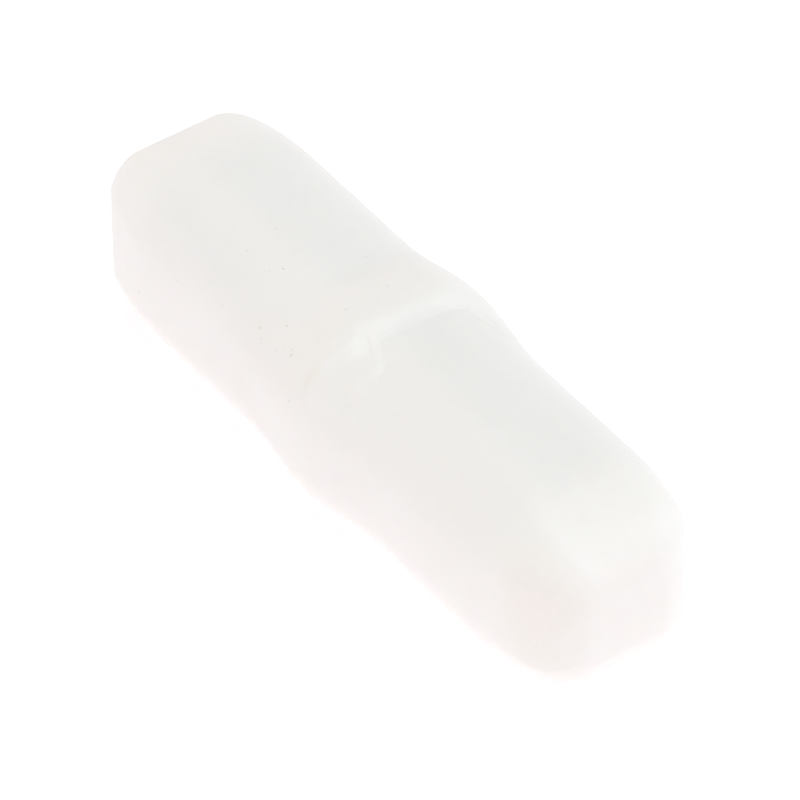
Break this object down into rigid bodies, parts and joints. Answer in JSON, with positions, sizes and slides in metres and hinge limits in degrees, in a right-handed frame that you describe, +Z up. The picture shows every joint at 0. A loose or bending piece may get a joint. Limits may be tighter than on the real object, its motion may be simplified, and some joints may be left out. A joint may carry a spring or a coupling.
{
  "type": "magnetic stir bar",
  "caption": "Magnetic stir bar: a rod magnet sealed in a white fluoropolymer jacket of soft square section, with rounded ends and a low pivot ring round the middle.",
  "frame": {"origin": "centre of the bar, on its long axis, half way along its length", "axes": "+X along the bar, +Z up, away from the surface that the pivot ring stands on; the bar spins about Z"},
  "size_m": [0.02, 0.006, 0.006],
  "materials": {
    "jacket": "smooth satin moulded fluoropolymer, milky white, faintly translucent, with a few tiny dark specks",
    "magnet": "plain ground magnet alloy, sealed inside the jacket"
  },
  "bodies": {
    "root": {"jacket": "jacket", "magnet": "magnet"}
  },
  "joints": []
}
